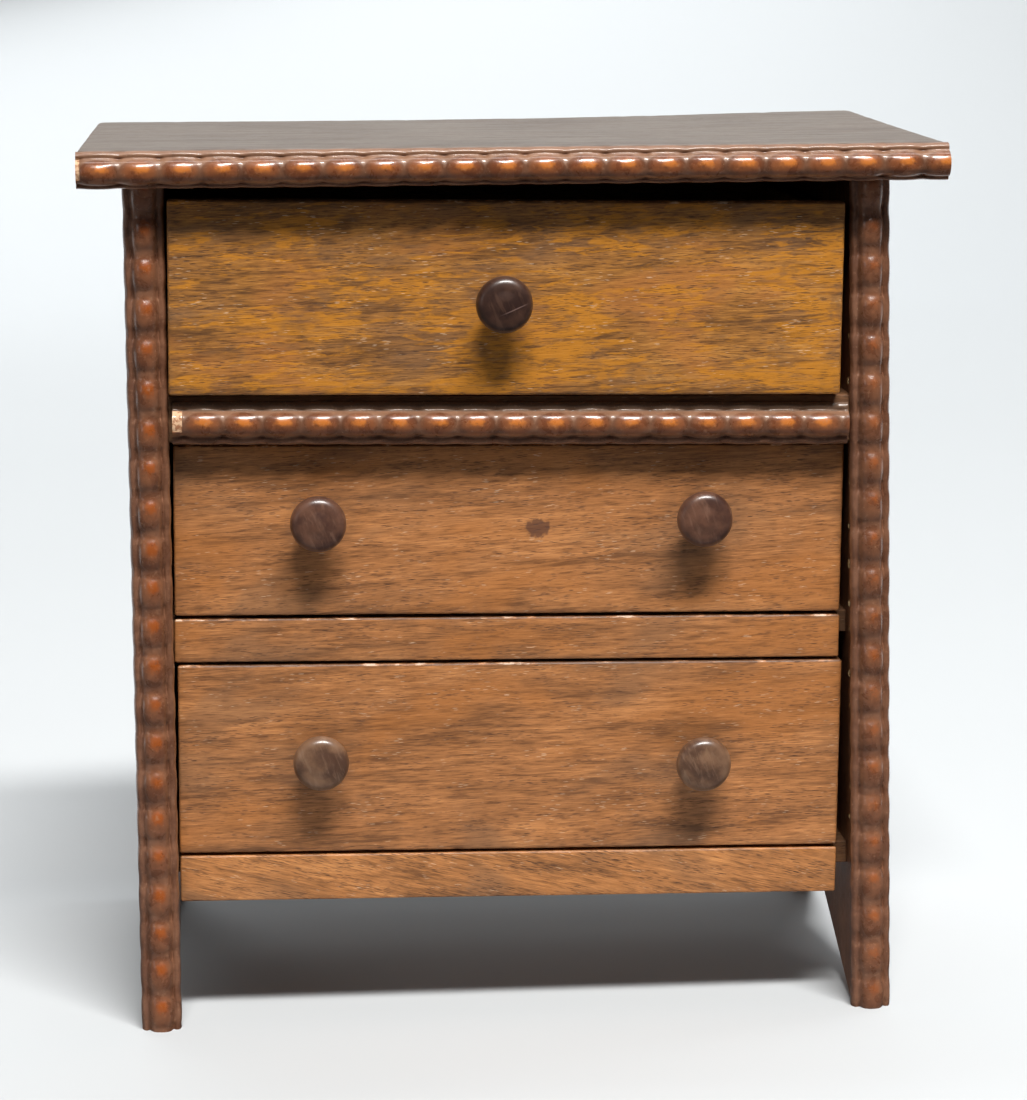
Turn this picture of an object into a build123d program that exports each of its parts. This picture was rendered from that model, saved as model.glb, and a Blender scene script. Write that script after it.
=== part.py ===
from build123d import *
import os
from math import cos, radians, sin, tan

# Miniature chest of three drawers, hand made in mahogany, with pressed bead mouldings.
# Millimetres. X runs across the front, Y from the front to the back, Z up.
# The origin is the middle of the footprint, knobs included, on the floor.

# ---- overall ----
width = 120.0
height = 126.5
back_reach = 67.0  # from the side boards' front edges to the back of the top board

# ---- top board ----
top_thick = 5.2
top_z = height - top_thick
top_front = 5.0  # overhang ahead of the side boards, under its moulding
corner_radius = 1.6
corner_curl = 0.8  # the rear right corner is this much thicker than the rest

# ---- side boards: neither is quite upright, so each inner face is a sloping line ----
side_thick = 5.0
side_depth = 64.4
left_inner = (-49.15, -48.70)  # x of the inner face at the floor and under the top
right_inner = (49.60, 47.50)
notch_start = 1.5  # floor contact kept at each end of a side board
notch_height = 14.5

# ---- rows between the sides: all of them fall a little to the right ----
row_roll = 0.85
rail_set_back = 1.8  # closed drawer fronts, rail and apron sit behind the side boards' front edges
rail_thick = 3.0
shelf_thick = 3.2
upper_shelf_thick = 6.5
row_left = -48.5  # x where the heights below are taken
upper_shelf_top = 92.05
lower_rail_top, lower_rail_height = 59.85, 6.3
apron_top, apron_height = 25.0, 6.8
rail_length = 95.7

# ---- back board ----
back_thick = 2.4
back_bottom = 15.5
back_inset = 0.4  # the back board stops this far short of the side boards' outer faces

# ---- bead mouldings: one row of long beads between two rows of small ones ----
bead_pitch = 5.60
bead_crest, bead_waist, bead_axis = 1.80, 1.42, 1.20
small_crest, small_waist, small_axis = 0.60, 0.46, 0.62
backing = 0.85
backing_inset = 0.15
post_width = 5.8
middle_width = 6.1
moulding_crest = bead_crest + bead_axis

# ---- drawers ----
front_thick = 3.6
drawer_side_thick = 2.6
drawer_back_thick = 2.4
drawer_bottom_thick = 1.8
drawer_side_drop = 1.6  # drawer sides stand this much lower than the front
drawer_side_inset = 0.2
drawer_bottom_raise = 0.3
back_gap = 0.3  # closed drawer to back board
peg_radius, peg_hole_radius = 1.45, 1.50
peg_length, peg_hole_depth = 2.4, 2.6
knob_radius = 4.0
knob_length = 6.2
knob_neck = 1.95
collar = 2.5  # radius of the knob's foot against the drawer front
edge_ease = 0.15  # rubbed-down edges of the drawer fronts and rails
open_by = 4.2  # the top drawer stands open by this much; the other two are shut

# ---- where the front lies: the origin is halfway between the top drawer's knob and the back edge ----
knob_reach = knob_length + open_by - rail_set_back
front_y = (knob_reach - back_reach) / 2  # plane of the side boards' front edges

os.makedirs("parts", exist_ok=True)


def save(part, label):
    """Names a finished piece and writes it."""
    part.part.label = label
    export_step(part.part, f"parts/{label}.step")


def inner_x(line, z):
    """x of a side board's inner face at height z."""
    return line[0] + (line[1] - line[0]) * z / top_z


def row_z(x, z_left):
    """Height at x of a row line that is at z_left at the row's left end."""
    return z_left - (x - row_left) * tan(radians(row_roll))


def row_plane(x, y, z, roll=row_roll):
    """A plane that faces forwards, with its x axis along a row."""
    return Plane(
        origin=(x, front_y + y, z),
        x_dir=(cos(radians(roll)), 0, -sin(radians(roll))),
        z_dir=(0, -1, 0),
    )


# ================= carcass =================


def side_board(label, line, outward):
    """One side board: a slightly leaning slab with a V cut out of its foot."""
    outline = [
        (line[0], 0),
        (line[0] + outward * side_thick, 0),
        (line[1] + outward * side_thick, top_z),
        (line[1], top_z),
    ]
    with BuildPart() as board:
        with BuildSketch(Plane.XZ.offset(-front_y)):
            with BuildLine():
                Polyline(*outline, close=True)
            make_face()
        extrude(amount=-side_depth)
        with BuildSketch(Plane.YZ):
            with BuildLine():
                Polyline(
                    (front_y + notch_start, 0),
                    (front_y + side_depth / 2, notch_height),
                    (front_y + side_depth - notch_start, 0),
                    close=True,
                )
            make_face()
        extrude(amount=width, both=True, mode=Mode.SUBTRACT)
    save(board, label)


side_board("left_side", left_inner, -1)
side_board("right_side", right_inner, 1)


def board_between_sides(label, z_left, thick, y_from, y_to):
    """A level-ish board glued between the two side boards, its top at z_left on the left."""
    corners = []
    for line, z_line in (
        (left_inner, z_left),
        (left_inner, z_left - thick),
        (right_inner, z_left - thick),
        (right_inner, z_left),
    ):
        x = inner_x(line, row_z(inner_x(line, z_line), z_line))
        corners.append((x, row_z(x, z_line)))
    # each corner is put exactly on its side board's sloping face
    corners = [(inner_x(left_inner if x < 0 else right_inner, z), z) for x, z in corners]
    with BuildPart() as board:
        with BuildSketch(Plane.XZ.offset(-(front_y + y_from))):
            with BuildLine():
                Polyline(*corners, close=True)
            make_face()
        extrude(amount=-(y_to - y_from))
    save(board, label)


rail_back = rail_set_back + rail_thick
board_between_sides("upper_shelf", upper_shelf_top, upper_shelf_thick, 0, side_depth)
board_between_sides("lower_shelf", lower_rail_top, shelf_thick, rail_back, side_depth)
board_between_sides("bottom_board", apron_top, shelf_thick, rail_back, side_depth)


def rail(label, z_left, high):
    """A strip that faces a shelf's front edge, a little shorter than the opening."""
    with BuildPart() as strip:
        with BuildSketch(row_plane(row_left, rail_set_back, z_left)):
            Rectangle(rail_length, high, align=(Align.MIN, Align.MAX))
        extrude(amount=-rail_thick)
        chamfer(strip.faces().sort_by(Axis.Y)[0].edges(), edge_ease)
    save(strip, label)


rail("lower_rail", lower_rail_top, lower_rail_height)
rail("apron", apron_top, apron_height)

with BuildPart() as back_board:
    beyond = side_thick - back_inset
    with BuildSketch(Plane.XZ.offset(-(front_y + side_depth))):
        with BuildLine():
            Polyline(
                (inner_x(left_inner, back_bottom) - beyond, back_bottom),
                (inner_x(right_inner, back_bottom) + beyond, back_bottom),
                (inner_x(right_inner, top_z) + beyond, top_z),
                (inner_x(left_inner, top_z) - beyond, top_z),
                close=True,
            )
        make_face()
    extrude(amount=-back_thick)
save(back_board, "back_board")

# The top board is level in front, and its upper face rises to the rear right corner.
board_front = front_y - top_front
board_depth = back_reach + top_front
with BuildPart() as top_board:
    with BuildSketch(Plane.XZ.offset(-board_front)) as front_section:
        with Locations((0, top_z)):
            Rectangle(width, top_thick, align=(Align.CENTER, Align.MIN))
    with BuildSketch(Plane.XZ.offset(-(board_front + board_depth))) as rear_section:
        with BuildLine():
            rise = Spline(
                (-width / 2, height),
                (-width / 12, height - 0.1),
                (width / 4, height + 0.3 * corner_curl),
                (width / 2, height + corner_curl),
            )
            Polyline(rise @ 0, (-width / 2, top_z), (width / 2, top_z), rise @ 1)
        make_face()
    loft(sections=[front_section.sketch, rear_section.sketch], ruled=True)
    rear_corners = top_board.edges().filter_by(Axis.Z).group_by(Axis.Y)[-1]
    fillet(rear_corners, corner_radius)
save(top_board, "top_board")


# ================= bead mouldings =================


def bead_moulding(label, start, along, length, strip_width, first, pitch=bead_pitch, upright=False):
    """A flat-backed strip. first is the distance from its start to the middle of a bead."""
    face = Plane(origin=start, x_dir=along, z_dir=(0, -1, 0))
    flank = strip_width / 2 - small_crest
    begin = first - pitch / 2
    while begin > 0:
        begin -= pitch
    with BuildPart() as strip:
        # three rows of turned beads, each about its own axis and run past both ends
        for across, lift, crest, waist in (
            (0, bead_axis, bead_crest, bead_waist),
            (flank, small_axis, small_crest, small_waist),
            (-flank, small_axis, small_crest, small_waist),
        ):
            row = Plane(origin=face.from_local_coords((0, across, lift)), x_dir=along, z_dir=(0, -1, 0))
            with BuildSketch(row):
                with BuildLine():
                    at = begin
                    while at < length:
                        ThreePointArc((at, waist), (at + pitch / 2, crest), (at + pitch, waist))
                        at += pitch
                    Polyline((at, waist), (at, 0), (begin, 0), (begin, waist))
                make_face()
            revolve(axis=Axis(row.origin, along))
        with BuildSketch(face):
            with Locations((-1, 0)):
                Rectangle(length + 2, strip_width - 2 * backing_inset, align=(Align.MIN, Align.CENTER))
        extrude(amount=backing)
        # the back is flat; the ends are sawn square, but a post's are sawn level
        if upright:
            with BuildSketch(Plane(origin=(0, front_y, 0), x_dir=(1, 0, 0), z_dir=(0, -1, 0))):
                Rectangle(width, top_z, align=(Align.CENTER, Align.MIN))
        else:
            with BuildSketch(face):
                Rectangle(length, strip_width + 1, align=(Align.MIN, Align.CENTER))
        extrude(amount=2 * moulding_crest, mode=Mode.INTERSECT)
    save(strip, label)


bead_moulding(
    "top_moulding",
    start=(-width / 2, board_front, top_z + top_thick / 2),
    along=(1, 0, 0),
    length=width,
    strip_width=top_thick,
    first=3.0,
    pitch=5.528,
)

# The posts cover the side boards' front edges, lean with them and stand on the floor.
for label, line, outward, first in (
    ("left_post", left_inner, -1, 3.15),
    ("right_post", right_inner, 1, 2.3),
):
    foot_x, head_x = (x + outward * side_thick / 2 for x in line)
    lean = Vector(head_x - foot_x, 0, top_z).normalized()
    bead_moulding(label, (foot_x, front_y, 0), lean, top_z, post_width, first, upright=True)

middle_roll = 1.0
bead_moulding(
    "middle_moulding",
    start=(-47.95, front_y, 88.35),
    along=(cos(radians(middle_roll)), 0, -sin(radians(middle_roll))),
    length=95.3,
    strip_width=middle_width,
    first=4.3,
    pitch=5.45,
)


# ================= drawers =================


def knob(label, x, z, face_y):
    """A turned knob with a round peg; its rim is rolled and its face slightly domed."""
    base = row_plane(x, face_y, z)
    with BuildPart() as turned:
        with BuildSketch(Plane(origin=base.origin, x_dir=(1, 0, 0), z_dir=(0, 0, 1))):
            with BuildLine():
                Polyline((0, peg_length), (peg_radius, peg_length), (peg_radius, 0), (collar, 0))
                Line((collar, 0), (collar, -0.5))
                ThreePointArc((collar, -0.5), (knob_neck, -1.8), (3.2, -3.1))
                ThreePointArc((3.2, -3.1), (knob_radius, -4.4), (2.7, -5.75))
                ThreePointArc((2.7, -5.75), (2.0, -6.06), (1.2, -knob_length))
                Polyline((1.2, -knob_length), (0, -knob_length), (0, peg_length))
            make_face()
        revolve(axis=Axis(base.origin, (0, 1, 0)))
    save(turned, label)


def drawer(name, x, z, wide, high, face_y, knobs):
    """A drawer: full-width front, two sides behind it, and a back and bottom between the sides."""
    face = row_plane(x, face_y, z)
    deep = side_depth - back_gap - rail_set_back - front_thick
    side_high = high - drawer_side_drop

    with BuildPart() as front:
        with BuildSketch(face):
            Rectangle(wide, high, align=(Align.MIN, Align.MIN))
        extrude(amount=-front_thick)
        chamfer(front.faces().sort_by(Axis.Y)[0].edges(), edge_ease)
        pegs = [Plane(origin=face.from_local_coords((u, v, 0)), z_dir=(0, -1, 0)) for u, v in knobs]
        with Locations(*pegs):
            Hole(peg_hole_radius, depth=peg_hole_depth)
    save(front, f"{name}_front")

    behind = face.offset(-front_thick)
    for hand, u in (("left", drawer_side_inset), ("right", wide - drawer_side_inset - drawer_side_thick)):
        with BuildPart() as side:
            with BuildSketch(behind):
                with Locations((u, 0)):
                    Rectangle(drawer_side_thick, side_high, align=(Align.MIN, Align.MIN))
            extrude(amount=-deep)
        save(side, f"{name}_side_{hand}")

    inset = drawer_side_inset + drawer_side_thick
    inside = wide - 2 * inset
    with BuildPart() as bottom:
        with BuildSketch(behind):
            with Locations((inset, drawer_bottom_raise)):
                Rectangle(inside, drawer_bottom_thick, align=(Align.MIN, Align.MIN))
        extrude(amount=-deep)
    save(bottom, f"{name}_bottom")

    floor_top = drawer_bottom_raise + drawer_bottom_thick
    with BuildPart() as back:
        with BuildSketch(behind.offset(-(deep - drawer_back_thick))):
            with Locations((inset, floor_top)):
                Rectangle(inside, side_high - floor_top, align=(Align.MIN, Align.MIN))
        extrude(amount=-drawer_back_thick)
    save(back, f"{name}_back")

    names = [f"{name}_knob"] if len(knobs) == 1 else [f"{name}_knob_left", f"{name}_knob_right"]
    for label, (u, v) in zip(names, knobs):
        at = face.from_local_coords((u, v, 0))
        knob(label, at.X, at.Z, face_y)


# Each drawer: lower left corner, width and height of its front, and its knobs on the front.
drawer("top", -48.40, 92.45, 94.4, 27.15, rail_set_back - open_by, [(46.3, 13.2)])
drawer("middle", -48.45, 60.30, 95.6, 24.60, rail_set_back, [(20.3, 14.0), (75.0, 14.4)])
drawer("bottom", -48.60, 25.40, 95.8, 27.75, rail_set_back, [(20.3, 14.3), (75.2, 13.5)])
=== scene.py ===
import math

import bpy
import numpy as np
from mathutils import Matrix, Vector, noise


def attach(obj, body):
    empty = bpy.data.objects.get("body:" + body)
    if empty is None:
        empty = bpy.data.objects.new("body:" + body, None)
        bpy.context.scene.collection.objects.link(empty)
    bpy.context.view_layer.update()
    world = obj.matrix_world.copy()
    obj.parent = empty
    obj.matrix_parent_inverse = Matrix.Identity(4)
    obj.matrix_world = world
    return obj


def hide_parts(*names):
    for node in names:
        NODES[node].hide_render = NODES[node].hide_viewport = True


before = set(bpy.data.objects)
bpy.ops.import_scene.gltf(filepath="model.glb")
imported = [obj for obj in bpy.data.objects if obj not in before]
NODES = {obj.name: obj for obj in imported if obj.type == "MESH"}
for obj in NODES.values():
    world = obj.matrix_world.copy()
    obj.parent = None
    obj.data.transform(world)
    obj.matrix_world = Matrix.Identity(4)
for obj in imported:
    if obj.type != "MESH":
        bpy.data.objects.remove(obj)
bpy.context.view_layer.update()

MM = 0.001

# ---------------------------------------------------------------- dimensions, mm, as in the CAD
WIDTH, HEIGHT = 120.0, 126.5
FRONT = -29.2                                       # plane of the side boards' front edges
TOP_THICK, TOP_FRONT, BACK_REACH = 5.2, 5.0, 67.0   # the top's reach ahead of and behind that plane
TOP_Z = HEIGHT - TOP_THICK
ROW_ROLL = math.radians(0.85)                       # how far every row falls to the right
SET_BACK = 1.8                                      # drawer fronts and rails behind the front plane
LEFT_INNER, RIGHT_INNER = (-49.15, -48.70), (49.60, 47.50)   # x of the inner faces at foot and head
SIDE_THICK = 5.0
FRONT_THICK, OPEN_BY = 3.6, 4.2                     # drawer fronts, and how far the top drawer stands open
RAIL_X, RAIL_LENGTH, RAIL_THICK = -48.5, 95.7, 3.0
BEAD_CREST = 1.80                                   # radius of a main bead
BEAD_AXIS, SMALL_AXIS = 1.20, 0.80                  # how far the rows' axes stand off the flat back
BACKING = 0.85                                      # thickness of a moulding's flat back
# name: x and z of the lower left corner, width, height, face ahead of or behind the sides, knobs
DRAWERS = {
    "top": (-48.40, 92.45, 94.4, 27.15, SET_BACK - OPEN_BY, [("top_knob", 46.3, 13.2)]),
    "middle": (-48.45, 60.30, 95.6, 24.60, SET_BACK,
               [("middle_knob_left", 20.3, 14.0), ("middle_knob_right", 75.0, 14.4)]),
    "bottom": (-48.60, 25.40, 95.8, 27.75, SET_BACK,
               [("bottom_knob_left", 20.3, 14.3), ("bottom_knob_right", 75.2, 13.5)]),
}


# ---------------------------------------------------------------- colour and node helpers
def rgb(r, g, b):
    """An sRGB colour, 0 to 255, as linear RGBA."""
    out = []
    for v in (r, g, b):
        v /= 255.0
        v = v / 12.92 if v <= 0.04045 else ((v + 0.055) / 1.055) ** 2.4
        out.append(v)
    return (*out, 1.0)


class Graph:
    """A short way to write a material's nodes."""

    def __init__(self, name):
        self.mat = bpy.data.materials.new(name)
        self.mat.use_nodes = True
        self.tree = self.mat.node_tree
        self.tree.nodes.clear()
        self.out = self.tree.nodes.new("ShaderNodeOutputMaterial")
        self.bsdf = self.tree.nodes.new("ShaderNodeBsdfPrincipled")
        self.tree.links.new(self.bsdf.outputs[0], self.out.inputs[0])

    def node(self, kind, **props):
        n = self.tree.nodes.new(kind)
        for key, value in props.items():
            setattr(n, key, value)
        return n

    def put(self, socket, value):
        if isinstance(value, bpy.types.NodeSocket):
            self.tree.links.new(value, socket)
        else:
            socket.default_value = value

    def math(self, op, a, b=0.0):
        n = self.node("ShaderNodeMath", operation=op)
        self.put(n.inputs[0], a)
        self.put(n.inputs[1], b)
        return n.outputs[0]

    def ramp(self, value, low, high):
        """0 below low and 1 above high, smoothly."""
        n = self.node("ShaderNodeMapRange", interpolation_type="SMOOTHSTEP")
        for key, v in (("Value", value), ("From Min", low), ("From Max", high)):
            self.put(n.inputs[key], v)
        return n.outputs[0]

    def mix(self, amount, a, b):
        n = self.node("ShaderNodeMix", data_type="RGBA")
        self.put(n.inputs[0], amount)
        self.put(n.inputs[6], a)
        self.put(n.inputs[7], b)
        return n.outputs[2]

    def coords(self, scale=(1, 1, 1), turn=(0, 0, 0), shift=(0, 0, 0)):
        """Place on the object in millimetres, turned and then stretched."""
        tex = self.node("ShaderNodeTexCoord")
        turned = self.node("ShaderNodeMapping", vector_type="POINT")
        self.put(turned.inputs["Vector"], tex.outputs["Object"])
        turned.inputs["Rotation"].default_value = turn
        turned.inputs["Location"].default_value = tuple(MM * s for s in shift)
        stretched = self.node("ShaderNodeMapping", vector_type="POINT")
        self.put(stretched.inputs["Vector"], turned.outputs[0])
        stretched.inputs["Scale"].default_value = tuple(s / MM for s in scale)
        return stretched.outputs[0]

    def noise(self, vector, scale=1.0, detail=3.0, rough=0.55, distortion=0.0):
        n = self.node("ShaderNodeTexNoise")
        self.put(n.inputs["Vector"], vector)
        settings = {"Scale": scale, "Detail": detail, "Roughness": rough, "Distortion": distortion}
        for key, v in settings.items():
            n.inputs[key].default_value = v
        return n.outputs["Fac"]

    def cells(self, vector):
        """Distance to the nearest of scattered points, about one in each unit cell."""
        n = self.node("ShaderNodeTexVoronoi", feature="F1")
        self.put(n.inputs["Vector"], vector)
        n.inputs["Scale"].default_value = 1.0
        n.inputs["Randomness"].default_value = 1.0
        return n.outputs["Distance"]

    def attribute(self, name):
        return self.node("ShaderNodeAttribute", attribute_name=name).outputs["Fac"]

    def bump(self, height, strength, distance_mm):
        n = self.node("ShaderNodeBump")
        self.put(n.inputs["Height"], height)
        n.inputs["Strength"].default_value = strength
        n.inputs["Distance"].default_value = distance_mm * MM
        return n.outputs[0]


def wood(name, tones, streak, pore, grain="x", slope=0.0, seed=0.0, roughness=0.5, coat=0.10, contrast=0.85,
         golden=0.0, pores=0.6, glints=0.7, stain=None, worn=None, dull=0.0, arris=0.0, drifts=1.0):
    """Open-grained wood under thin varnish. tones are three colours from dark to light.

    golden, pores, glints, dull, arris and drifts are how much of each effect there is. stain is a spot's
    middle and half-width in x and z, and worn is the colour of rubbed rims.
    """
    g = Graph(name)
    long_axis = {"x": 0, "y": 1, "z": 2}[grain]
    turn = (0, math.radians(slope), 0) if grain != "y" else (0, 0, math.radians(slope))
    shift = (17.3 * seed, 9.1 * seed, 23.7 * seed)

    def along_grain(length, thick, offset=shift):
        """Coordinates in which one cell is length by thick millimetres."""
        scale = [1 / thick] * 3
        scale[long_axis] = 1 / length
        return g.coords(tuple(scale), turn, offset)

    def part(field, low, high, amount):
        return g.math("MULTIPLY", g.ramp(field, low, high), amount)

    # broad bands, streaks and hair-fine lines, all long in the grain's direction
    bands = g.noise(along_grain(24, 4.0), 1.0, 3.0, 0.55, 0.5)
    streaks = g.noise(along_grain(7.0, 0.55), 1.0, 4.0, 0.62, 0.35)
    fine = g.noise(along_grain(2.3, 0.15), 1.0, 3.0, 0.6, 0.2)
    tone = g.math("ADD", g.math("MULTIPLY", bands, 0.34), g.math("MULTIPLY", streaks, 0.36))
    tone = g.math("ADD", tone, g.math("MULTIPLY", fine, 0.30))
    tone = g.math("ADD", 0.5, g.math("MULTIPLY", g.math("SUBTRACT", tone, 0.5), contrast))
    colour = g.mix(g.ramp(tone, 0.40, 0.54), tones[0], tones[1])
    colour = g.mix(g.ramp(tone, 0.51, 0.63), colour, tones[2])
    # slow drifts between greyer and more orange wood
    drift = g.noise(along_grain(20, 9, (4.0 * seed, 31.0, 8.0 * seed)), 1.0, 2.0, 0.5, 0.4)
    colour = g.mix(part(drift, 0.50, 0.68, 0.50 * drifts), colour, rgb(188, 118, 58))
    colour = g.mix(part(drift, 0.46, 0.30, 0.45 * drifts), colour, rgb(134, 98, 70))
    if golden:
        # a curly figure: patches that shine golden beside patches that stay brown
        patch = g.noise(along_grain(5.5, 0.95), 1.0, 4.0, 0.62, 0.6)
        region = g.noise(along_grain(16, 7.5, (2.0, 6.0, 4.0 * seed)), 1.0, 2.0, 0.5, 0.5)
        patch = g.math("ADD", patch, g.math("MULTIPLY", g.math("SUBTRACT", region, 0.5), 0.7))
        colour = g.mix(part(patch, 0.49, 0.61, golden), colour, rgb(204, 132, 34))
        dark_patch = g.noise(along_grain(7.0, 3.0, (5.0, 3.0, 11.0 * seed)), 1.0, 3.0, 0.6, 0.8)
        colour = g.mix(part(dark_patch, 0.53, 0.66, 0.45), colour, rgb(124, 90, 62))
    colour = g.mix(part(streaks, 0.44, 0.34, 0.30), colour, streak)
    colour = g.mix(part(fine, 0.45, 0.32, 0.75 if golden else 0.5), colour, streak)
    colour = g.mix(part(fine, 0.56, 0.70, 0.3 if golden else 0.15), colour, tones[2])
    # pores: short dark dashes, crowded in some bands and sparse in others
    dashes = g.cells(along_grain(1.9, 0.16))
    crowd = g.noise(along_grain(11, 2.0), 1.0, 2.0)
    limit = g.math("ADD", 0.10, part(crowd, 0.40, 0.62, 0.34 * pores))
    dash = g.ramp(g.math("SUBTRACT", limit, dashes), 0.0, 0.12)
    colour = g.mix(g.math("MULTIPLY", dash, 0.80), colour, pore)
    # painted highlights and pale filler: short pale dashes along the grain stand in for glints where pores
    # catch the light, and for pale polish held in some pores
    pale = g.cells(along_grain(2.1, 0.15, (3.1, 8.3, 5.5 + seed)))
    where = g.noise(along_grain(3.4, 1.3, (9.0, 1.0, seed)), 1.0, 2.0)
    glint = g.math("MULTIPLY", g.ramp(g.math("SUBTRACT", 0.24, pale), 0.0, 0.10), g.ramp(where, 0.54, 0.64))
    colour = g.mix(g.math("MULTIPLY", glint, glints), colour, rgb(238, 210, 178))
    # handling: greyer and darker towards the edges and around the knobs
    rub = g.noise(g.coords((0.35, 0.35, 0.35), (0, 0, 0), shift), 1.0, 4.0, 0.6)
    grime = g.math("MULTIPLY", g.attribute("edge"), g.ramp(rub, 0.35, 0.75))
    colour = g.mix(g.math("MULTIPLY", grime, 0.35), colour, rgb(96, 68, 48))
    soil = g.math("MULTIPLY", g.attribute("soil"), g.ramp(rub, 0.25, 0.6))
    colour = g.mix(soil, colour, rgb(104, 74, 52))
    if stain:
        (x0, z0), (rx, rz) = stain
        split = g.node("ShaderNodeSeparateXYZ")
        g.put(split.inputs[0], g.coords())
        uneven = g.math("SUBTRACT", g.noise(g.coords((1.1, 1.1, 1.1)), 1.0, 3.0), 0.5)
        ragged = g.math("MULTIPLY", uneven, 1.1)
        dx = g.math("DIVIDE", g.math("SUBTRACT", split.outputs[0], x0), rx)
        dz = g.math("DIVIDE", g.math("SUBTRACT", split.outputs[2], z0), rz)
        away = g.math("SQRT", g.math("ADD", g.math("POWER", dx, 2.0), g.math("POWER", dz, 2.0)))
        spot = part(g.math("ADD", away, ragged), 1.12, 0.80, 0.72)
        colour = g.mix(spot, colour, rgb(78, 50, 44))
    if worn:
        bare = g.math("MULTIPLY", g.ramp(g.attribute("rim"), 0.45, 0.95), g.ramp(rub, 0.42, 0.62))
        colour = g.mix(bare, colour, worn)
    if arris:
        # painted light on the upward-facing arrises: broken dark patches are painted shade that dulls the
        # edges where the light falls, and pale specks between them are painted highlights
        split = g.node("ShaderNodeSeparateXYZ")
        g.put(split.inputs[0], g.node("ShaderNodeNewGeometry").outputs["Normal"])
        arris_light_breakup = g.noise(along_grain(4.0, 2.0, (1.0, seed, 2.0)), 1.0, 4.0, 0.7)
        lit_arris = part(split.outputs[2], 0.15, 0.5, arris)
        colour = g.mix(g.math("MULTIPLY", lit_arris, g.ramp(arris_light_breakup, 0.58, 0.50)), colour, rgb(70, 44, 28))
        colour = g.mix(g.math("MULTIPLY", lit_arris, g.ramp(arris_light_breakup, 0.57, 0.66)), colour, rgb(232, 206, 180))
    if dull:
        dust = g.noise(g.coords((0.05, 0.35, 0.35)), 1.0, 5.0, 0.65)
        colour = g.mix(part(dust, 0.32, 0.68, dull), colour, rgb(150, 140, 128))
    g.put(g.bsdf.inputs["Base Color"], colour)
    gloss = g.math("ADD", roughness - 0.10, g.math("MULTIPLY", rub, 0.16))
    gloss = g.math("ADD", gloss, g.math("MULTIPLY", dash, 0.2))
    g.put(g.bsdf.inputs["Roughness"], gloss)
    g.bsdf.inputs["Specular IOR Level"].default_value = 0.42
    g.bsdf.inputs["Coat Weight"].default_value = coat
    g.bsdf.inputs["Coat Roughness"].default_value = 0.30
    relief = g.math("SUBTRACT", g.math("MULTIPLY", fine, 0.7), g.math("MULTIPLY", dash, 1.0))
    relief = g.math("ADD", relief, g.math("MULTIPLY", streaks, 0.5))
    g.put(g.bsdf.inputs["Normal"], g.bump(relief, 0.6, 0.07))
    return g.mat


def varnished_moulding(name, seed, glow, valley, body):
    """Brown varnish, redder on the beads, with a painted orange glow below each bead's highlight that stands
    in for light coming back through the amber varnish, painted shade where the crest falls below zero, and
    dull in the valleys.
    """
    g = Graph(name)
    crest, bare = g.attribute("crest"), g.attribute("bare")
    shift = (13.0 * seed, 7.0, 5.0 * seed)
    blotch = g.noise(g.coords((0.40, 0.40, 0.40), (0, 0, 0), shift), 1.0, 4.0, 0.6, 0.4)
    small = g.noise(g.coords((1.7, 1.7, 1.7), (0, 0, 0), shift), 1.0, 3.0, 0.6)
    speck = g.noise(g.coords((4.0, 4.0, 4.0), (0, 0, 0), shift), 1.0, 2.0, 0.6)
    colour = g.mix(g.ramp(blotch, 0.36, 0.66), rgb(104, 66, 46), rgb(130, 88, 64))
    # painted shade: nearly black where crest falls below zero, the flank that lies in the shadow of the
    # drawer above
    colour = g.mix(g.ramp(crest, -0.08, -0.30), colour, rgb(44, 28, 20))
    colour = g.mix(g.math("MULTIPLY", g.ramp(crest, 0.10, 0.0), valley), colour, rgb(160, 122, 92))
    reddish = g.mix(g.ramp(blotch, 0.40, 0.60), rgb(120, 66, 38), rgb(144, 84, 48))
    colour = g.mix(g.math("MULTIPLY", g.ramp(crest, 0.08, 0.48), body), colour, reddish)
    # painted glow: orange below each bead's highlight, standing in for light coming back through the amber
    # varnish
    ragged = g.math("ADD", crest, g.math("MULTIPLY", g.math("SUBTRACT", small, 0.5), 0.5))
    colour = g.mix(g.math("MULTIPLY", g.ramp(ragged, 0.52, 0.86), 0.85), colour, glow)
    colour = g.mix(g.math("MULTIPLY", g.ramp(small, 0.58, 0.72), 0.35), colour, rgb(168, 128, 100))
    colour = g.mix(g.math("MULTIPLY", g.ramp(small, 0.40, 0.28), 0.3), colour, rgb(70, 42, 30))
    colour = g.mix(g.math("MULTIPLY", g.ramp(speck, 0.66, 0.76), 0.4), colour, rgb(206, 168, 132))
    cut = g.mix(g.ramp(small, 0.40, 0.56), rgb(168, 112, 76), rgb(224, 184, 146))
    colour = g.mix(g.ramp(bare, 0.35, 0.65), colour, cut)
    g.put(g.bsdf.inputs["Base Color"], colour)
    gloss = g.math("ADD", 0.20, g.math("MULTIPLY", blotch, 0.16))
    gloss = g.math("ADD", gloss, g.math("MULTIPLY", g.ramp(crest, 0.16, -0.16), 0.45))
    g.put(g.bsdf.inputs["Roughness"], g.math("ADD", gloss, g.math("MULTIPLY", bare, 0.4)))
    g.bsdf.inputs["Specular IOR Level"].default_value = 0.5
    g.bsdf.inputs["Coat Weight"].default_value = 0.6
    g.bsdf.inputs["Coat Roughness"].default_value = 0.10
    relief = g.math("ADD", g.math("MULTIPLY", small, 1.0), g.math("MULTIPLY", speck, 0.5))
    g.put(g.bsdf.inputs["Normal"], g.bump(relief, 0.32, 0.10))
    return g.mat


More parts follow.
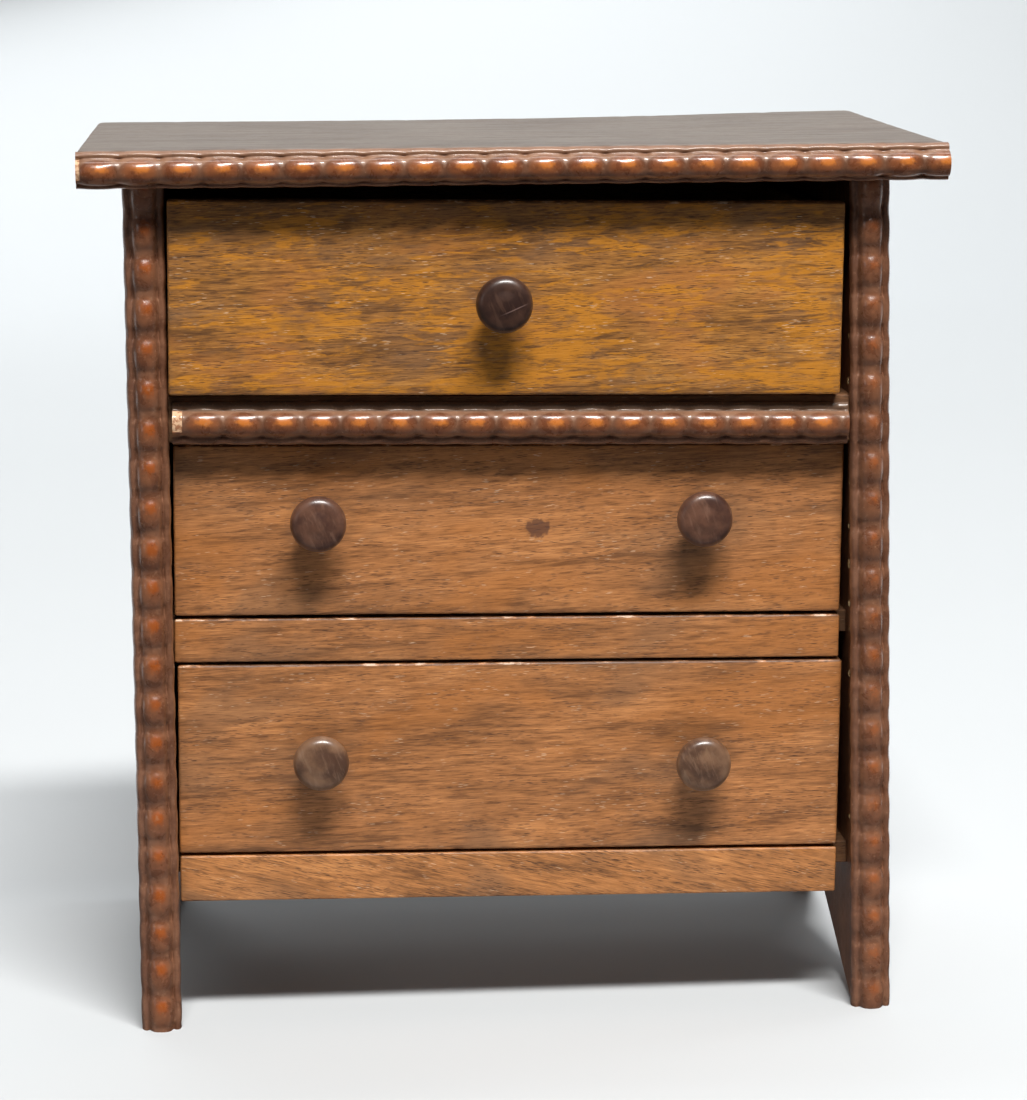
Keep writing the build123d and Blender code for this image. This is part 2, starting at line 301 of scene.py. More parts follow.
def dark_knob(name, seed, tones, scratch=None):
    """Dark turned wood, polished, with fine streaks and rubbed patches."""
    g = Graph(name)
    shift = (3.0 * seed, 2.0, 7.0 * seed)
    blotch = g.noise(g.coords((0.22, 0.22, 0.22), (0, 0, 0), shift), 1.0, 4.0, 0.6)
    grain = g.noise(g.coords((1.6, 0.3, 0.35), (0, math.radians(20), 0), shift), 1.0, 4.0, 0.6, 0.5)
    colour = g.mix(g.ramp(blotch, 0.36, 0.66), tones[0], tones[1])
    colour = g.mix(g.math("MULTIPLY", g.ramp(grain, 0.5, 0.7), 0.4), colour, tones[2])
    if scratch:
        (x0, z0), (x1, z1) = scratch
        turn = math.atan2(z1 - z0, x1 - x0)
        split = g.node("ShaderNodeSeparateXYZ")
        tex = g.node("ShaderNodeTexCoord")
        g.put(split.inputs[0], tex.outputs["Object"])
        dx = g.math("SUBTRACT", g.math("MULTIPLY", split.outputs[0], 1 / MM), (x0 + x1) / 2)
        dz = g.math("SUBTRACT", g.math("MULTIPLY", split.outputs[2], 1 / MM), (z0 + z1) / 2)
        c, s = math.cos(turn), math.sin(turn)
        across = g.math("SUBTRACT", g.math("MULTIPLY", dz, c), g.math("MULTIPLY", dx, s))
        along = g.math("ADD", g.math("MULTIPLY", dx, c), g.math("MULTIPLY", dz, s))
        line = g.math("MULTIPLY", g.ramp(g.math("ABSOLUTE", across), 0.10, 0.03),
                      g.ramp(g.math("ABSOLUTE", along), math.hypot(x1 - x0, z1 - z0) / 2, 0.5))
        colour = g.mix(g.math("MULTIPLY", line, 0.5), colour, rgb(158, 128, 120))
    g.put(g.bsdf.inputs["Base Color"], colour)
    g.put(g.bsdf.inputs["Roughness"], g.math("ADD", 0.26, g.math("MULTIPLY", blotch, 0.22)))
    g.bsdf.inputs["Coat Weight"].default_value = 0.45
    g.bsdf.inputs["Coat Roughness"].default_value = 0.2
    g.put(g.bsdf.inputs["Normal"], g.bump(grain, 0.25, 0.05))
    return g.mat


def glue(name):
    """Dried glue, amber and chalky."""
    g = Graph(name)
    lump = g.noise(g.coords((1.5, 1.5, 1.5)), 1.0, 3.0)
    colour = g.mix(g.ramp(lump, 0.35, 0.65), rgb(112, 78, 36), rgb(196, 172, 128))
    g.put(g.bsdf.inputs["Base Color"], colour)
    g.bsdf.inputs["Roughness"].default_value = 0.45
    g.put(g.bsdf.inputs["Normal"], g.bump(lump, 0.4, 0.08))
    return g.mat


PORE = rgb(54, 32, 20)
STREAK = rgb(100, 62, 36)
FRONT_TONES = [rgb(126, 82, 48), rgb(176, 116, 68), rgb(208, 142, 86)]
BOX_TONES = [rgb(142, 106, 70), rgb(170, 130, 88), rgb(188, 148, 104)]
MATS = {
    "top_front": wood("golden_front", [rgb(112, 74, 38), rgb(168, 112, 52), rgb(206, 144, 70)],
                      rgb(88, 56, 30), PORE, slope=1.5, seed=1.0, golden=0.80, contrast=0.95, glints=0.85,
                      arris=0.7),
    "middle_front": wood("middle_front", FRONT_TONES, STREAK, PORE, arris=0.7, slope=2.5, seed=2.0,
                         stain=((3.3, 72.0), (1.8, 1.35))),
    "lower_rail": wood("lower_rail", FRONT_TONES, STREAK, PORE, arris=0.7, slope=1.0, seed=3.0),
    "bottom_front": wood("bottom_front", FRONT_TONES, STREAK, PORE, arris=0.7, slope=1.0, seed=4.0),
    "apron": wood("apron", [rgb(134, 88, 50), rgb(188, 124, 70), rgb(220, 152, 90)], STREAK, PORE,
                  slope=-13.0, seed=5.0, pores=0.8),
    "top_board": wood("top_board", [rgb(78, 62, 50), rgb(96, 78, 64), rgb(112, 94, 80)], rgb(70, 54, 44),
                      rgb(60, 46, 38), drifts=0.0, seed=6.0, roughness=0.46, coat=0.2, dull=0.35,
                      glints=0.25, worn=rgb(150, 92, 48)),
    "side": wood("side_board", [rgb(92, 58, 38), rgb(120, 76, 48), rgb(140, 90, 56)], rgb(76, 48, 32),
                 rgb(48, 30, 20), grain="z", drifts=0.15, seed=7.0, roughness=0.48, glints=0.4),
    "inner": wood("inner_board", [rgb(96, 66, 44), rgb(120, 84, 56), rgb(138, 98, 64)], rgb(80, 56, 38),
                  rgb(58, 38, 26), drifts=0.2, seed=8.0, roughness=0.7, coat=0.0, glints=0.3),
    "box_long": wood("drawer_box_long", BOX_TONES, rgb(124, 90, 58), rgb(92, 64, 42), grain="y",
                     drifts=0.2, seed=9.0, roughness=0.7, coat=0.0, glints=0.3),
    "box_cross": wood("drawer_box_cross", BOX_TONES, rgb(124, 90, 58), rgb(92, 64, 42),
                      drifts=0.2, seed=10.0, roughness=0.7, coat=0.0, glints=0.3),
    "back": wood("back_board", [rgb(118, 80, 50), rgb(146, 102, 64), rgb(164, 118, 78)], rgb(98, 66, 42),
                 rgb(66, 44, 30), grain="z", drifts=0.2, seed=11.0, roughness=0.66, coat=0.0, glints=0.3),
    "glue": glue("dried_glue"),
}


# ---------------------------------------------------------------- mesh helpers
def finish_piece(name, verts, faces, mat, body, replaces=None, attributes=None):
    """A smooth-shaded mesh, given in mm, that rides on a CAD body."""
    mesh = bpy.data.meshes.new(name)
    mesh.from_pydata([tuple(MM * c for c in v) for v in verts], [], faces)
    mesh.update()
    for key, values in (attributes or {}).items():
        layer = mesh.attributes.new(key, "FLOAT", "POINT")
        layer.data.foreach_set("value", np.asarray(values, np.float32))
    mesh.polygons.foreach_set("use_smooth", [True] * len(mesh.polygons))
    obj = bpy.data.objects.new(name, mesh)
    bpy.context.scene.collection.objects.link(obj)
    mesh.materials.append(mat)
    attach(obj, body)
    if replaces:
        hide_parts(replaces)


def cuts(length, round_by, step):
    """Places of the grid lines along one side of a rounded box."""
    count = max(1, int(round((length - 2 * round_by) / step)))
    inside = [round_by + (length - 2 * round_by) * k / count for k in range(count + 1)]
    corner = [0.0, round_by * 0.30, round_by * 0.62]
    return corner + inside + [length - c for c in reversed(corner)]


def rounded_box(size, round_by, step):
    """Vertices, faces, outward normals and edge closeness of a box with rolled edges."""
    lines = [cuts(s, round_by, step) for s in size]
    top = [len(line) - 1 for line in lines]
    index, points, faces = {}, [], []

    def vertex(key):
        if key not in index:
            index[key] = len(points)
            points.append([lines[a][key[a]] for a in range(3)])
        return index[key]

    for axis in range(3):
        a, b = (axis + 1) % 3, (axis + 2) % 3
        for end in (0, top[axis]):
            for i in range(top[a]):
                for j in range(top[b]):
                    quad = []
                    for di, dj in ((0, 0), (1, 0), (1, 1), (0, 1)):
                        key = [0, 0, 0]
                        key[axis], key[a], key[b] = end, i + di, j + dj
                        quad.append(vertex(tuple(key)))
                    faces.append(quad if end else quad[::-1])
    p = np.array(points)
    size = np.array(size)
    core = np.clip(p, round_by, size - round_by)
    n = p - core
    n /= np.maximum(np.linalg.norm(n, axis=1, keepdims=True), 1e-9)
    return core + n * round_by, faces, n, p


def rolled_frame(x, y, z):
    """Corner and local axes of a row piece: u along the row, v up, w to the back."""
    c, s = math.cos(ROW_ROLL), math.sin(ROW_ROLL)
    return np.array([x, FRONT + y, z]), np.array([[c, 0, -s], [s, 0, c], [0, 1, 0]])


def value_noise(points, scale, seed):
    """Smooth noise, about -1 to 1, at each of the points."""
    shift = np.array([seed, 2 * seed, -seed])
    return np.array([noise.noise(Vector(p * scale + shift)) for p in points])


def board(name, size, place, mat, body, round_by=0.35, step=1.2, seed=1.0, wobble=0.05, nick=0.10,
          replaces=None, soil_at=(), shape=None):
    """A hand-planed board. size is along u, v and w, and place is its corner and axes."""
    local, faces, normals, raw = rounded_box(size, round_by, step)
    size = np.array(size, float)
    gap = np.sort(np.minimum(raw, size - raw), axis=1)
    rim = np.clip(1 - gap[:, 1] / (1.6 * round_by), 0, 1)
    edge = np.exp(-gap[:, 1] / 2.6)
    slow = value_noise(local, 0.07, seed)
    quick = value_noise(local, 0.45, seed + 5)
    chip = np.clip(value_noise(local, 0.9, seed + 9) - 0.12, 0, 1)
    move = -wobble * (0.5 + 0.5 * slow) - nick * rim * (0.35 + 0.35 * quick + 2.0 * chip)
    local = local + normals * move[:, None]
    soil = np.zeros(len(local))
    for u, v, reach, amount in soil_at:
        d = np.hypot(local[:, 0] - u, local[:, 1] - v)
        soil = np.maximum(soil, amount * np.clip(1 - (d - 3.4) / reach, 0, 1))
    if shape is not None:
        world = shape(local)
    else:
        origin, axes = place
        world = origin + local @ axes
    finish_piece(name, world.tolist(), faces, mat, body, replaces,
                 {"edge": edge, "rim": rim, "soil": soil})


# ---------------------------------------------------------------- drawer fronts, rails
for key, (x, z, wide, high, face, knobs) in DRAWERS.items():
    board(f"{key}_front_board", (wide, high, FRONT_THICK), rolled_frame(x, face, z),
          MATS[f"{key}_front"], f"{key}_drawer",
          round_by=0.4, step=1.1, seed=len(key) * 1.7, replaces=f"{key}_front",
          soil_at=[(u, v, 3.2, 0.45) for _, u, v in knobs])

# top is the height of the strip's upper left corner, and high how wide the strip is
for key, top, high in (("lower_rail", 59.85, 6.3), ("apron", 25.0, 6.8)):
    z_low = top - high * math.cos(ROW_ROLL)
    x_low = RAIL_X - high * math.sin(ROW_ROLL)
    board(f"{key}_strip", (RAIL_LENGTH, high, RAIL_THICK), rolled_frame(x_low, SET_BACK, z_low),
          MATS[key], "carcass", round_by=0.3, step=1.1, seed=len(key) * 2.3, replaces=key)


# ---------------------------------------------------------------- top board
def curl(x):
    """How far the rear edge stands above the front edge at x."""
    places = [-60.0, -30.0, -10.0, 10.0, 30.0, 48.0, 60.0]
    rises = [0.0, -0.08, -0.10, -0.02, 0.24, 0.62, 0.78]
    return np.interp(x, places, rises)


def top_shape(local):
    """The flat board's points with its rear edge curled and its rear corners rounded."""
    out = np.empty_like(local)
    depth = BACK_REACH + TOP_FRONT
    x, y, z = local[:, 0] - WIDTH / 2, local[:, 2], local[:, 1]
    out[:, 0], out[:, 1] = x, FRONT - TOP_FRONT + y
    rise = curl(x) * (y / depth) ** 1.3 * (z / TOP_THICK)
    out[:, 2] = TOP_Z + z + rise
    r = 1.7
    cx, cy = WIDTH / 2 - r, FRONT + BACK_REACH - r
    for k in np.nonzero((np.abs(x) > cx) & (out[:, 1] > cy))[0]:
        dx, dy = abs(x[k]) - cx, out[k, 1] - cy
        big = max(dx, dy)
        if big > 1e-9:
            scale = big / math.hypot(dx, dy)
            out[k, 0] = math.copysign(cx + dx * scale, x[k])
            out[k, 1] = cy + dy * scale
    return out


board("top_board_planed", (WIDTH, TOP_THICK, BACK_REACH + TOP_FRONT), None, MATS["top_board"], "carcass",
      round_by=0.45, step=1.5, seed=3.3, wobble=0.04, nick=0.12, replaces="top_board",
      shape=top_shape)


# ---------------------------------------------------------------- bead mouldings
def soft_max(a, b, blend=0.22):
    """The larger of two heights, with the crease between them filled."""
    return 0.5 * (a + b + np.sqrt((a - b) ** 2 + blend ** 2))


def bead_moulding(name, node, start, along, length, wide, half_main, first, pitch, seed, shape, glow,
                  level=False, low_shaded_flank=False, bare_to=0.0, bare_band=(0.0, 0.0)):
    """A strip of pressed beads as a height field over its flat back.

    first is the distance from the start to a bead's middle. shape is how far the main row sits off the
    strip's middle, how deep the valleys are, how far a bead's two shoulders reach along the strip and how
    square it is. glow places the painted orange glow just below a bead's highlight, which stands in for light
    coming back through the amber varnish: its offset along and across, its reach along and across, and its
    strength. A level strip has its ends sawn level though it leans. One flag makes the strip sit low above
    the main row and paints shade there, as cast by the drawer that overhangs it. bare_to and bare_band give
    the stretch of raw wood at its start.
    """
    rng = np.random.RandomState(seed)
    s = np.linspace(0, length, int(length / 0.16) + 1)
    half = wide / 2
    row_up, dip, reach_back, reach_on, square = shape
    upper_r = (half - half_main - row_up) / 2 + 0.08
    lower_r = (half - half_main + row_up) / 2 + 0.08
    low_edge, high_edge = row_up - half_main + 0.1, row_up + half_main - 0.1
    v = np.unique(np.round(np.concatenate([
        np.linspace(-half, low_edge, 16), np.linspace(low_edge, high_edge, 30),
        np.linspace(high_edge, half, 12)]), 4))
    bead = np.floor((s - first) / pitch + 0.5).astype(int)
    bead -= bead.min()
    count = bead.max() + 1
    swell = 1 - 0.04 * rng.rand(count)
    slide = 0.10 * (rng.rand(count) - 0.5)
    drift = 0.5 * (rng.rand(count) - 0.5)
    shine = 0.7 + 0.3 * rng.rand(count)
    u = (((s - first) / pitch + 0.5) % 1.0 - 0.5) * pitch
    depth = np.clip(np.abs(u) / np.where(u < 0, reach_back, reach_on), 0, 1) ** square
    main_r = (BEAD_CREST - dip * depth) * swell[bead]
    centre = row_up + slide[bead] * (1 - depth)
    field = np.full((len(s), len(v)), BACKING * 0.55)
    upper_axis = 0.45 * SMALL_AXIS if low_shaded_flank else SMALL_AXIS
    upper_row, lower_row = upper_r * (1 - 0.2 * depth), lower_r * (1 - 0.2 * depth)
    for off, lift, tall, broad in (
            (centre, BEAD_AXIS, main_r, half_main * (0.82 + 0.18 * main_r / BEAD_CREST)),
            (half - upper_r, upper_axis, upper_row, upper_row),
            (lower_r - half, SMALL_AXIS, lower_row, lower_row)):
        d = (v[None, :] - np.reshape(off, (-1, 1))) / broad[:, None]
        round_top = tall[:, None] * np.sqrt(np.clip(1 - d * d, 0, None))
        field = soft_max(field, np.where(np.abs(d) < 1, lift + round_top, 0.0))
    # thick varnish rounds the creases
    for _ in range(4):
        field[1:-1] = 0.22 * field[:-2] + 0.56 * field[1:-1] + 0.22 * field[2:]
        field[:, 1:-1] = 0.22 * field[:, :-2] + 0.56 * field[:, 1:-1] + 0.22 * field[:, 2:]
    dents = [[noise.noise(Vector((a * 0.5 + seed, b * 0.8, seed * 1.7))) for b in v] for a in s]
    field *= 1 - 0.02 * (1 + np.array(dents))
    across = np.repeat(v[None, :], len(s), 0) * (1 - 0.10 * depth / half)[:, None]
    glow_along, glow_across, reach_along, reach_across, strength = glow
    along_glow = (u - glow_along - drift[bead])[:, None] / reach_along
    spot = np.hypot(along_glow, (across - glow_across) / reach_across)
    oval = np.hypot(u[:, None] / (0.45 * pitch), (across - row_up) / (0.85 * half_main))
    crest = 0.5 * np.clip(1.35 - oval ** 2, 0, 1)
    # the valleys are pale only in their upper half
    crest = np.maximum(crest, 0.12 * np.clip(0.5 - (across - row_up) / 0.8, 0, 1))
    # painted glow: the orange patch just below each bead's highlight, light coming back through the varnish,
    # is added to crest here
    crest = crest + (1 - crest) * strength * shine[bead][:, None] * np.exp(-spot ** 2)
    cut = (s[:, None] < bare_to) & (across > bare_band[0]) & (across < bare_band[1])
    bare = np.where(cut, 1.0, 0.0)
    field = np.where(cut, field * 0.94, field)
    # painted shade: crest is pushed below zero on the flank above the main row, as in the shadow of the
    # drawer that overhangs it
    if low_shaded_flank:
        crest = crest - 0.6 * np.clip((across - row_up - 0.92 * half_main) / 0.25, 0, 1)

    along = np.array(along, float)
    up = np.cross([0.0, -1.0, 0.0], along)
    out = np.array([0.0, -1.0, 0.0])
    start = np.array(start, float)
    rows = []
    for i in range(len(s)):
        line = [start + along * s[i] + up * across[i, 0]]
        line += [start + along * s[i] + up * across[i, j] + out * field[i, j] for j in range(len(v))]
        line += [start + along * s[i] + up * across[i, -1]]
        rows.append(line)
    pts = np.array(rows)
    if level:
        # both ends are sawn level, though the strip leans
        low, high = pts[0, :, 2].copy(), pts[-1, :, 2].copy()
        f = (s / length)[:, None]
        pts[:, :, 2] += (0.0 - low)[None, :] * (1 - f) + (TOP_Z - high)[None, :] * f
    wide_n = pts.shape[1]
    verts = pts.reshape(-1, 3).tolist()
    faces = []
    for i in range(len(s) - 1):
        for j in range(wide_n - 1):
            a = i * wide_n + j
            faces.append((a, a + 1, a + wide_n + 1, a + wide_n))
        a, b = i * wide_n, i * wide_n + wide_n - 1
        faces.append((a, a + wide_n, b + wide_n, b))
    # end caps on vertices of their own, so that the sawn edges stay crisp
    cap_crest, cap_bare = 0.15, 0.42
    crest_all = np.pad(crest, ((0, 0), (1, 1)), mode="edge").reshape(-1).tolist()
    bare_all = np.pad(bare, ((0, 0), (1, 1)), mode="edge").reshape(-1).tolist()
    for i, flip in ((0, False), (len(s) - 1, True)):
        base = len(verts)
        verts.extend(pts[i].tolist())
        crest_all.extend([cap_crest] * wide_n)
        bare_all.extend([cap_bare] * wide_n)
        ring = [base + j for j in range(wide_n)]
        faces.append(tuple(ring if flip else ring[::-1]))
    finish_piece(name, verts, faces, MATS[node], "carcass", node,
                 {"crest": crest_all, "bare": bare_all})


# node: colour of the painted glow below each bead's highlight, how pale the valleys are, how red the beads
# are
STRIP_LOOKS = {
    "top_moulding": (rgb(202, 118, 48), 0.35, 0.9),
    "left_post": (rgb(150, 74, 22), 0.0, 0.4),
    "right_post": (rgb(152, 80, 34), 0.0, 0.3),
    "middle_moulding": (rgb(202, 118, 48), 0.35, 0.8),
}
for k, (node, look) in enumerate(STRIP_LOOKS.items()):
    MATS[node] = varnished_moulding(f"{node}_varnish", 1.0 + k, *look)

TOP_FIRST, TOP_PITCH = 3.0, 5.528
POST_WIDTH, POST_PITCH = 5.8, 5.60
MIDDLE_START, MIDDLE_ROLL = (-47.95, FRONT, 88.35), math.radians(1.0)
MIDDLE_LENGTH, MIDDLE_WIDTH, MIDDLE_FIRST, MIDDLE_PITCH = 95.3, 6.1, 4.3, 5.45
HALF_MAIN, MIDDLE_HALF_MAIN = 1.80, 1.85            # half the width of the main row
TOP_BEAD, TOP_GLOW = (-0.22, 0.62, 2.5, 2.5, 2.0), (0.3, 0.32, 1.15, 0.60, 1.0)
MIDDLE_BEAD, MIDDLE_GLOW = (0.0, 0.62, 2.5, 2.5, 2.0), (0.2, 0.50, 1.15, 0.60, 1.0)
POST_BEAD, POST_GLOW = (0.0, 0.66, 2.5, 1.95, 2.3), (0.85, -0.22, 1.05, 0.92)
bead_moulding("top_bead_strip", "top_moulding", (-WIDTH / 2, FRONT - TOP_FRONT, TOP_Z + TOP_THICK / 2),
              (1, 0, 0), WIDTH, TOP_THICK, HALF_MAIN, TOP_FIRST, TOP_PITCH, 11, TOP_BEAD, TOP_GLOW,
              bare_to=0.5, bare_band=(-1.2, 1.7))
for name, node, line, outward, first, seed, strength in (
        ("left_bead_post", "left_post", LEFT_INNER, -1, 3.15, 12, 0.9),
        ("right_bead_post", "right_post", RIGHT_INNER, 1, 2.3, 13, 0.55)):
    foot, head = (x + outward * SIDE_THICK / 2 for x in line)
    lean = np.array([head - foot, 0, TOP_Z])
    lean = lean / np.linalg.norm(lean)
    bead_moulding(name, node, (foot, FRONT, 0), lean, TOP_Z, POST_WIDTH, HALF_MAIN, first, POST_PITCH, seed,
                  POST_BEAD, (*POST_GLOW, strength), level=True)
bead_moulding("middle_bead_strip", "middle_moulding", MIDDLE_START,
              (math.cos(MIDDLE_ROLL), 0, -math.sin(MIDDLE_ROLL)), MIDDLE_LENGTH, MIDDLE_WIDTH,
              MIDDLE_HALF_MAIN, MIDDLE_FIRST, MIDDLE_PITCH, 14, MIDDLE_BEAD, MIDDLE_GLOW, low_shaded_flank=True,
              bare_to=1.4, bare_band=(-1.0, 1.75))


# ---------------------------------------------------------------- knobs
def arc(p0, p1, p2, count):
    """Points on the circle through three points, from the first to the last."""
    (ax, ay), (bx, by), (cx, cy) = p0, p1, p2
    d = 2 * (ax * (by - cy) + bx * (cy - ay) + cx * (ay - by))
    a2, b2, c2 = ax * ax + ay * ay, bx * bx + by * by, cx * cx + cy * cy
    ux = (a2 * (by - cy) + b2 * (cy - ay) + c2 * (ay - by)) / d
    uy = (a2 * (cx - bx) + b2 * (ax - cx) + c2 * (bx - ax)) / d
    r = math.hypot(ax - ux, ay - uy)
    t0, t1, t2 = (math.atan2(y - uy, x - ux) for x, y in (p0, p1, p2))
    sweep = (t2 - t0) % (2 * math.pi)
    if (t1 - t0) % (2 * math.pi) > sweep:
        sweep -= 2 * math.pi
    return [(ux + r * math.cos(t0 + sweep * k / count), uy + r * math.sin(t0 + sweep * k / count))
            for k in range(count + 1)]


KNOB_TONES = {
    "top": (rgb(50, 31, 25), rgb(76, 50, 38), rgb(96, 68, 54)),
    "middle": (rgb(68, 43, 35), rgb(106, 71, 54), rgb(128, 95, 77)),
    "bottom": (rgb(84, 58, 44), rgb(126, 93, 69), rgb(146, 116, 93)),
}


def turned_knob(name, node, x, y, z, mat, body, seed):
    """A knob turned about Y, with its peg. profile is radius and distance from the drawer's face."""
    profile = [(0.0, 2.38), (1.40, 2.38), (1.40, 0.02), (2.46, 0.02), (2.5, -0.06), (2.5, -0.44)]
    profile += arc((2.48, -0.5), (1.95, -1.8), (3.2, -3.1), 10)
    profile += arc((3.2, -3.1), (4.0, -4.4), (2.75, -5.72), 16)[1:]
    profile += [(2.45, -5.80), (2.2, -5.80), (1.9, -5.86), (1.4, -5.98), (0.9, -6.08), (0.45, -6.14)]
    around = 72
    verts, faces = [], []
    for k, (r, a) in enumerate(profile):
        for m in range(around):
            angle = 2 * math.pi * m / around
            wob = 1 - 0.008 * (1 + noise.noise(Vector((math.cos(angle) + seed, math.sin(angle), a * 0.4))))
            verts.append((x + r * wob * math.cos(angle), y + a, z + r * wob * math.sin(angle)))
    for k in range(len(profile) - 1):
        for m in range(around):
            n = (m + 1) % around
            faces.append((k * around + m, k * around + n, (k + 1) * around + n, (k + 1) * around + m))
    tip = len(verts)
    verts.append((x, y - 6.08, z))
    last = (len(profile) - 1) * around
    faces += [(last + m, last + (m + 1) % around, tip) for m in range(around)]
    finish_piece(name, verts, faces, mat, body, node)


for key, (x, z, wide, high, face, knobs) in DRAWERS.items():
    origin, axes = rolled_frame(x, face, z)
    for k, (node, u, v) in enumerate(knobs):
        at = origin + np.array([u, v, 0.0]) @ axes
        scratch = ((at[0] - 1.0, at[2] - 1.5), (at[0] + 3.6, at[2] + 0.4)) if key == "top" else None
        MATS[node] = dark_knob(f"{node}_polish", 1.0 + k + len(key), KNOB_TONES[key], scratch)
        turned_knob(f"{node}_turned", node, at[0], at[1], at[2], MATS[node], f"{key}_drawer",
                    2.0 * k + len(key))


# ---------------------------------------------------------------- boards kept from the CAD
def dress(node, mat, width_mm=0.3):
    """A CAD board keeps its mesh; its sharp edges are eased and it gets its wood."""
    obj = NODES[node]
    obj.data.materials.clear()
    obj.data.materials.append(mat)
    weld = obj.modifiers.new("weld", "WELD")
    weld.merge_threshold = 0.002 * MM
    ease = obj.modifiers.new("ease", "BEVEL")
    ease.width = width_mm * MM
    ease.segments = 2
    ease.limit_method = "ANGLE"
    ease.angle_limit = math.radians(35)
    ease.harden_normals = False


for node in ("left_side", "right_side"):
    dress(node, MATS["side"])
for node in ("upper_shelf", "lower_shelf", "bottom_board"):
    dress(node, MATS["inner"], 0.15)
dress("back_board", MATS["back"])
for key in DRAWERS:
    for node in (f"{key}_side_left", f"{key}_side_right", f"{key}_bottom"):
        dress(node, MATS["box_long"], 0.25)
    dress(f"{key}_back", MATS["box_cross"], 0.25)


# ---------------------------------------------------------------- dried glue in the right-hand corner
GLUE_BEADS = [(99.0, 0.30), (92.5, 0.36), (78.0, 0.26), (71.5, 0.30), (66.0, 0.42), (60.2, 0.34),
              (56.5, 0.30), (50.0, 0.38), (45.2, 0.30), (33.0, 0.26), (28.5, 0.34)]   # height, size
rng = np.random.RandomState(5)
for k, (z, size) in enumerate(GLUE_BEADS):
    inner = RIGHT_INNER[0] + (RIGHT_INNER[1] - RIGHT_INNER[0]) * z / TOP_Z
    centre = np.array([inner - 0.55 * size, FRONT + 0.5 + 0.6 * rng.rand(), z])
    verts, faces = [], []
    rings, around = 7, 12
    for i in range(rings + 1):
        polar = math.pi * i / rings
        for m in range(around):
            a = 2 * math.pi * m / around
            d = np.array([math.sin(polar) * math.cos(a), math.sin(polar) * math.sin(a), math.cos(polar)])
            lump = 0.75 + 0.5 * noise.noise(Vector(d * 1.6 + k))
            verts.append((centre + d * size * lump * np.array([0.7, 1.0, 1.9])).tolist())
    for i in range(rings):
        for m in range(around):
            n = (m + 1) % around
            faces.append((i * around + m, (i + 1) * around + m, (i + 1) * around + n, i * around + n))
    finish_piece(f"glue_bead_{k + 1}", verts, faces, MATS["glue"], "carcass")


# ---------------------------------------------------------------- floor, backdrop, lights, camera
def stage_material(name, colour):
    """Matt paper with very slow changes of tone."""
    g = Graph(name)
    soft = g.noise(g.coords((0.004, 0.004, 0.004)), 1.0, 2.0)
    darker = (*(0.985 * c for c in colour[:3]), 1.0)
    g.put(g.bsdf.inputs["Base Color"], g.mix(g.ramp(soft, 0.2, 0.8), colour, darker))
    g.bsdf.inputs["Roughness"].default_value = 0.8
    g.bsdf.inputs["Specular IOR Level"].default_value = 0.15
    return g.mat


SHEET_HALF_WIDTH = 4.0


def sheet(name, line, mat, bounces, mirrored):
    """A stretch of the seamless backdrop along a line of y and z, in metres.

    bounces: it throws light back at the object. mirrored: the object's gloss shows it.
    """
    verts = [(side * SHEET_HALF_WIDTH, y, z) for y, z in line for side in (-1, 1)]
    faces = [(2 * k, 2 * k + 1, 2 * k + 3, 2 * k + 2) for k in range(len(line) - 1)]
    mesh = bpy.data.meshes.new(name)
    mesh.from_pydata(verts, [], faces)
    mesh.polygons.foreach_set("use_smooth", [True] * len(mesh.polygons))
    obj = bpy.data.objects.new(name, mesh)
    bpy.context.scene.collection.objects.link(obj)
    mesh.materials.append(mat)
    obj.visible_diffuse = bounces
    obj.visible_glossy = mirrored


# Only the floor near the chest and the sheet behind it throw light back, as if the studio were dark.
PALE_SHEET = stage_material("pale_sheet", rgb(200, 203, 205))
NEAR_Y, CHEST_Y, BEND_Y, BEND_R = -0.125, 0.045, 0.9, 0.7
CURVE = [(BEND_Y + BEND_R * math.sin(a), BEND_R - BEND_R * math.cos(a))
         for a in np.linspace(0.1, math.pi / 2, 14)]
sheet("front_floor", [(-2.5, 0.0), (NEAR_Y, 0.0)], PALE_SHEET, False, False)
sheet("near_floor", [(NEAR_Y, 0.0), (CHEST_Y, 0.0)], PALE_SHEET, True, False)
sheet("rear_floor_and_wall", [(CHEST_Y, 0.0), (BEND_Y, 0.0)] + CURVE + [(BEND_Y + BEND_R, 3.5)],
      PALE_SHEET, True, True)


def area_light(name, place, aim, size, power, colour):
    """A rectangular light. place, aim and size are in metres, and power is in watts."""
    data = bpy.data.lights.new(name, "AREA")
    data.shape = "RECTANGLE"
    data.size, data.size_y = size
    data.energy = power
    data.color = colour
    obj = bpy.data.objects.new(name, data)
    bpy.context.scene.collection.objects.link(obj)
    obj.location = place
    direction = Vector(aim) - Vector(place)
    obj.rotation_euler = direction.to_track_quat("-Z", "Y").to_euler()
    return obj


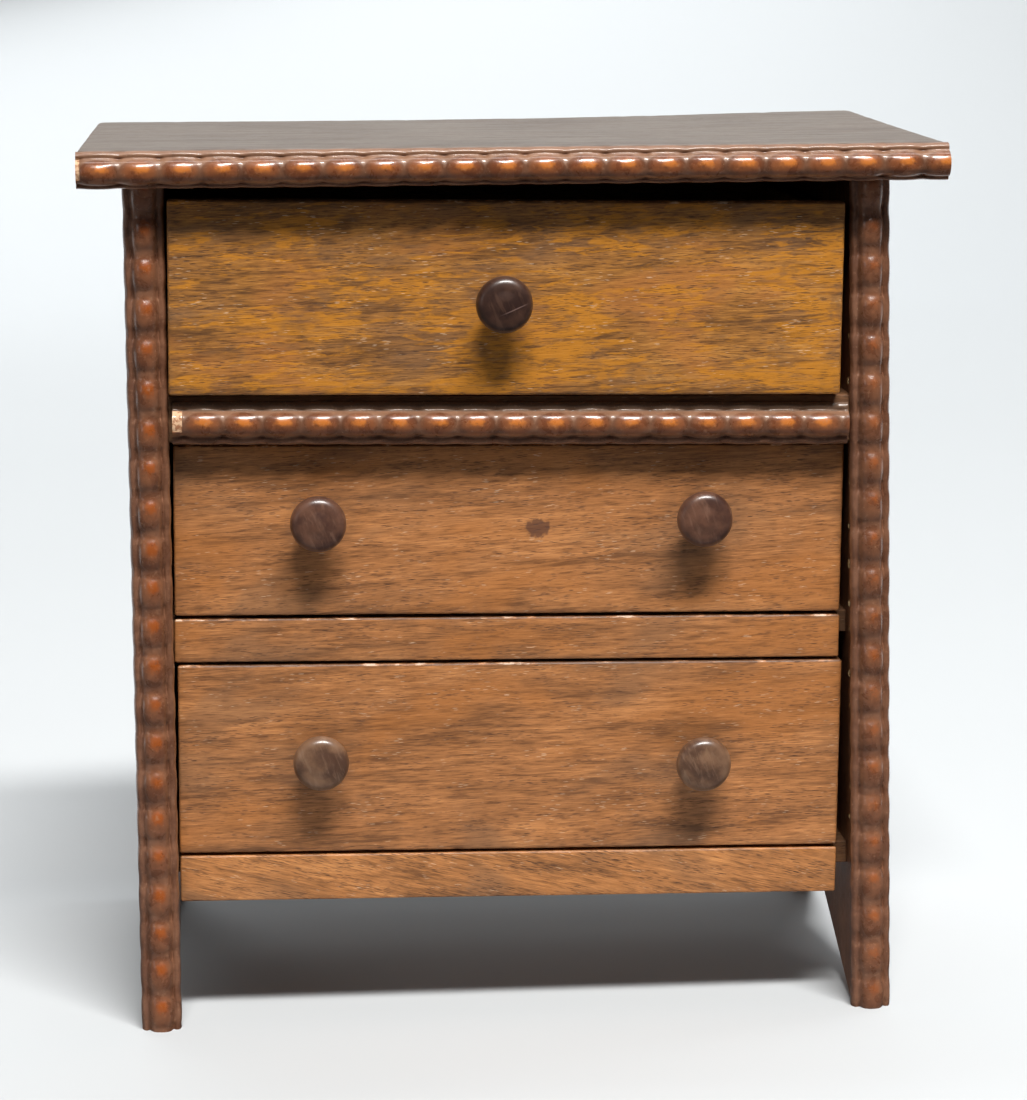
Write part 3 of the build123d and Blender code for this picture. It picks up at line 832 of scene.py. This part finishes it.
AIM = (0.0, 0.0, 0.06)
area_light("key", (0.17, -0.78, 1.405), AIM, (0.80, 0.20), 38.5, (1.0, 0.99, 0.97))
area_light("fill_left", (-0.95, -0.65, 0.35), AIM, (0.30, 0.45), 0.4, (0.97, 0.98, 1.0))
rear = area_light("rear_low", (-0.25, 1.25, 0.42), (0.0, 0.05, 0.30), (1.2, 0.5), 5.6, (0.97, 0.99, 1.0))
rear.visible_glossy = False
area_light("wall_wash", (0.60, 0.45, 1.9), (0.55, 1.6, 0.5), (2.4, 0.5), 20.5, (0.97, 0.99, 1.0))

world = bpy.data.worlds.new("studio")
bpy.context.scene.world = world
world.use_nodes = True
world.node_tree.nodes["Background"].inputs[0].default_value = (0.90, 0.94, 0.97, 1.0)
world.node_tree.nodes["Background"].inputs[1].default_value = 0.07
bpy.context.scene.view_settings.view_transform = "Standard"

camera_data = bpy.data.cameras.new("camera")
camera = bpy.data.objects.new("camera", camera_data)
bpy.context.scene.collection.objects.link(camera)
# the camera as solved from the photograph, whose middle is the lens axis
FOCAL_PX, FRAME_W = 3174.65, 1027.0
SENSOR_MM = 36.0
camera_data.sensor_fit = "HORIZONTAL"
camera_data.sensor_width = SENSOR_MM
camera_data.lens = FOCAL_PX / FRAME_W * SENSOR_MM
camera_data.clip_start, camera_data.clip_end = 0.01, 20.0
CAMERA_AT = (-0.03773, -0.44124 + FRONT * MM, 0.15393)
yaw, pitch, roll_angle = math.radians(4.854), math.radians(10.828), math.radians(-0.295)
forward = Vector((math.sin(yaw), math.cos(yaw), 0))
right = Vector((math.cos(yaw), -math.sin(yaw), 0))
up = Vector((0, 0, 1))
look = math.cos(pitch) * forward - math.sin(pitch) * up
tall = math.sin(pitch) * forward + math.cos(pitch) * up
side_axis = math.cos(roll_angle) * right + math.sin(roll_angle) * tall
tall_axis = -math.sin(roll_angle) * right + math.cos(roll_angle) * tall
turn = Matrix((side_axis, tall_axis, -look)).transposed().to_4x4()
camera.matrix_world = Matrix.Translation(CAMERA_AT) @ turn
bpy.context.scene.camera = camera
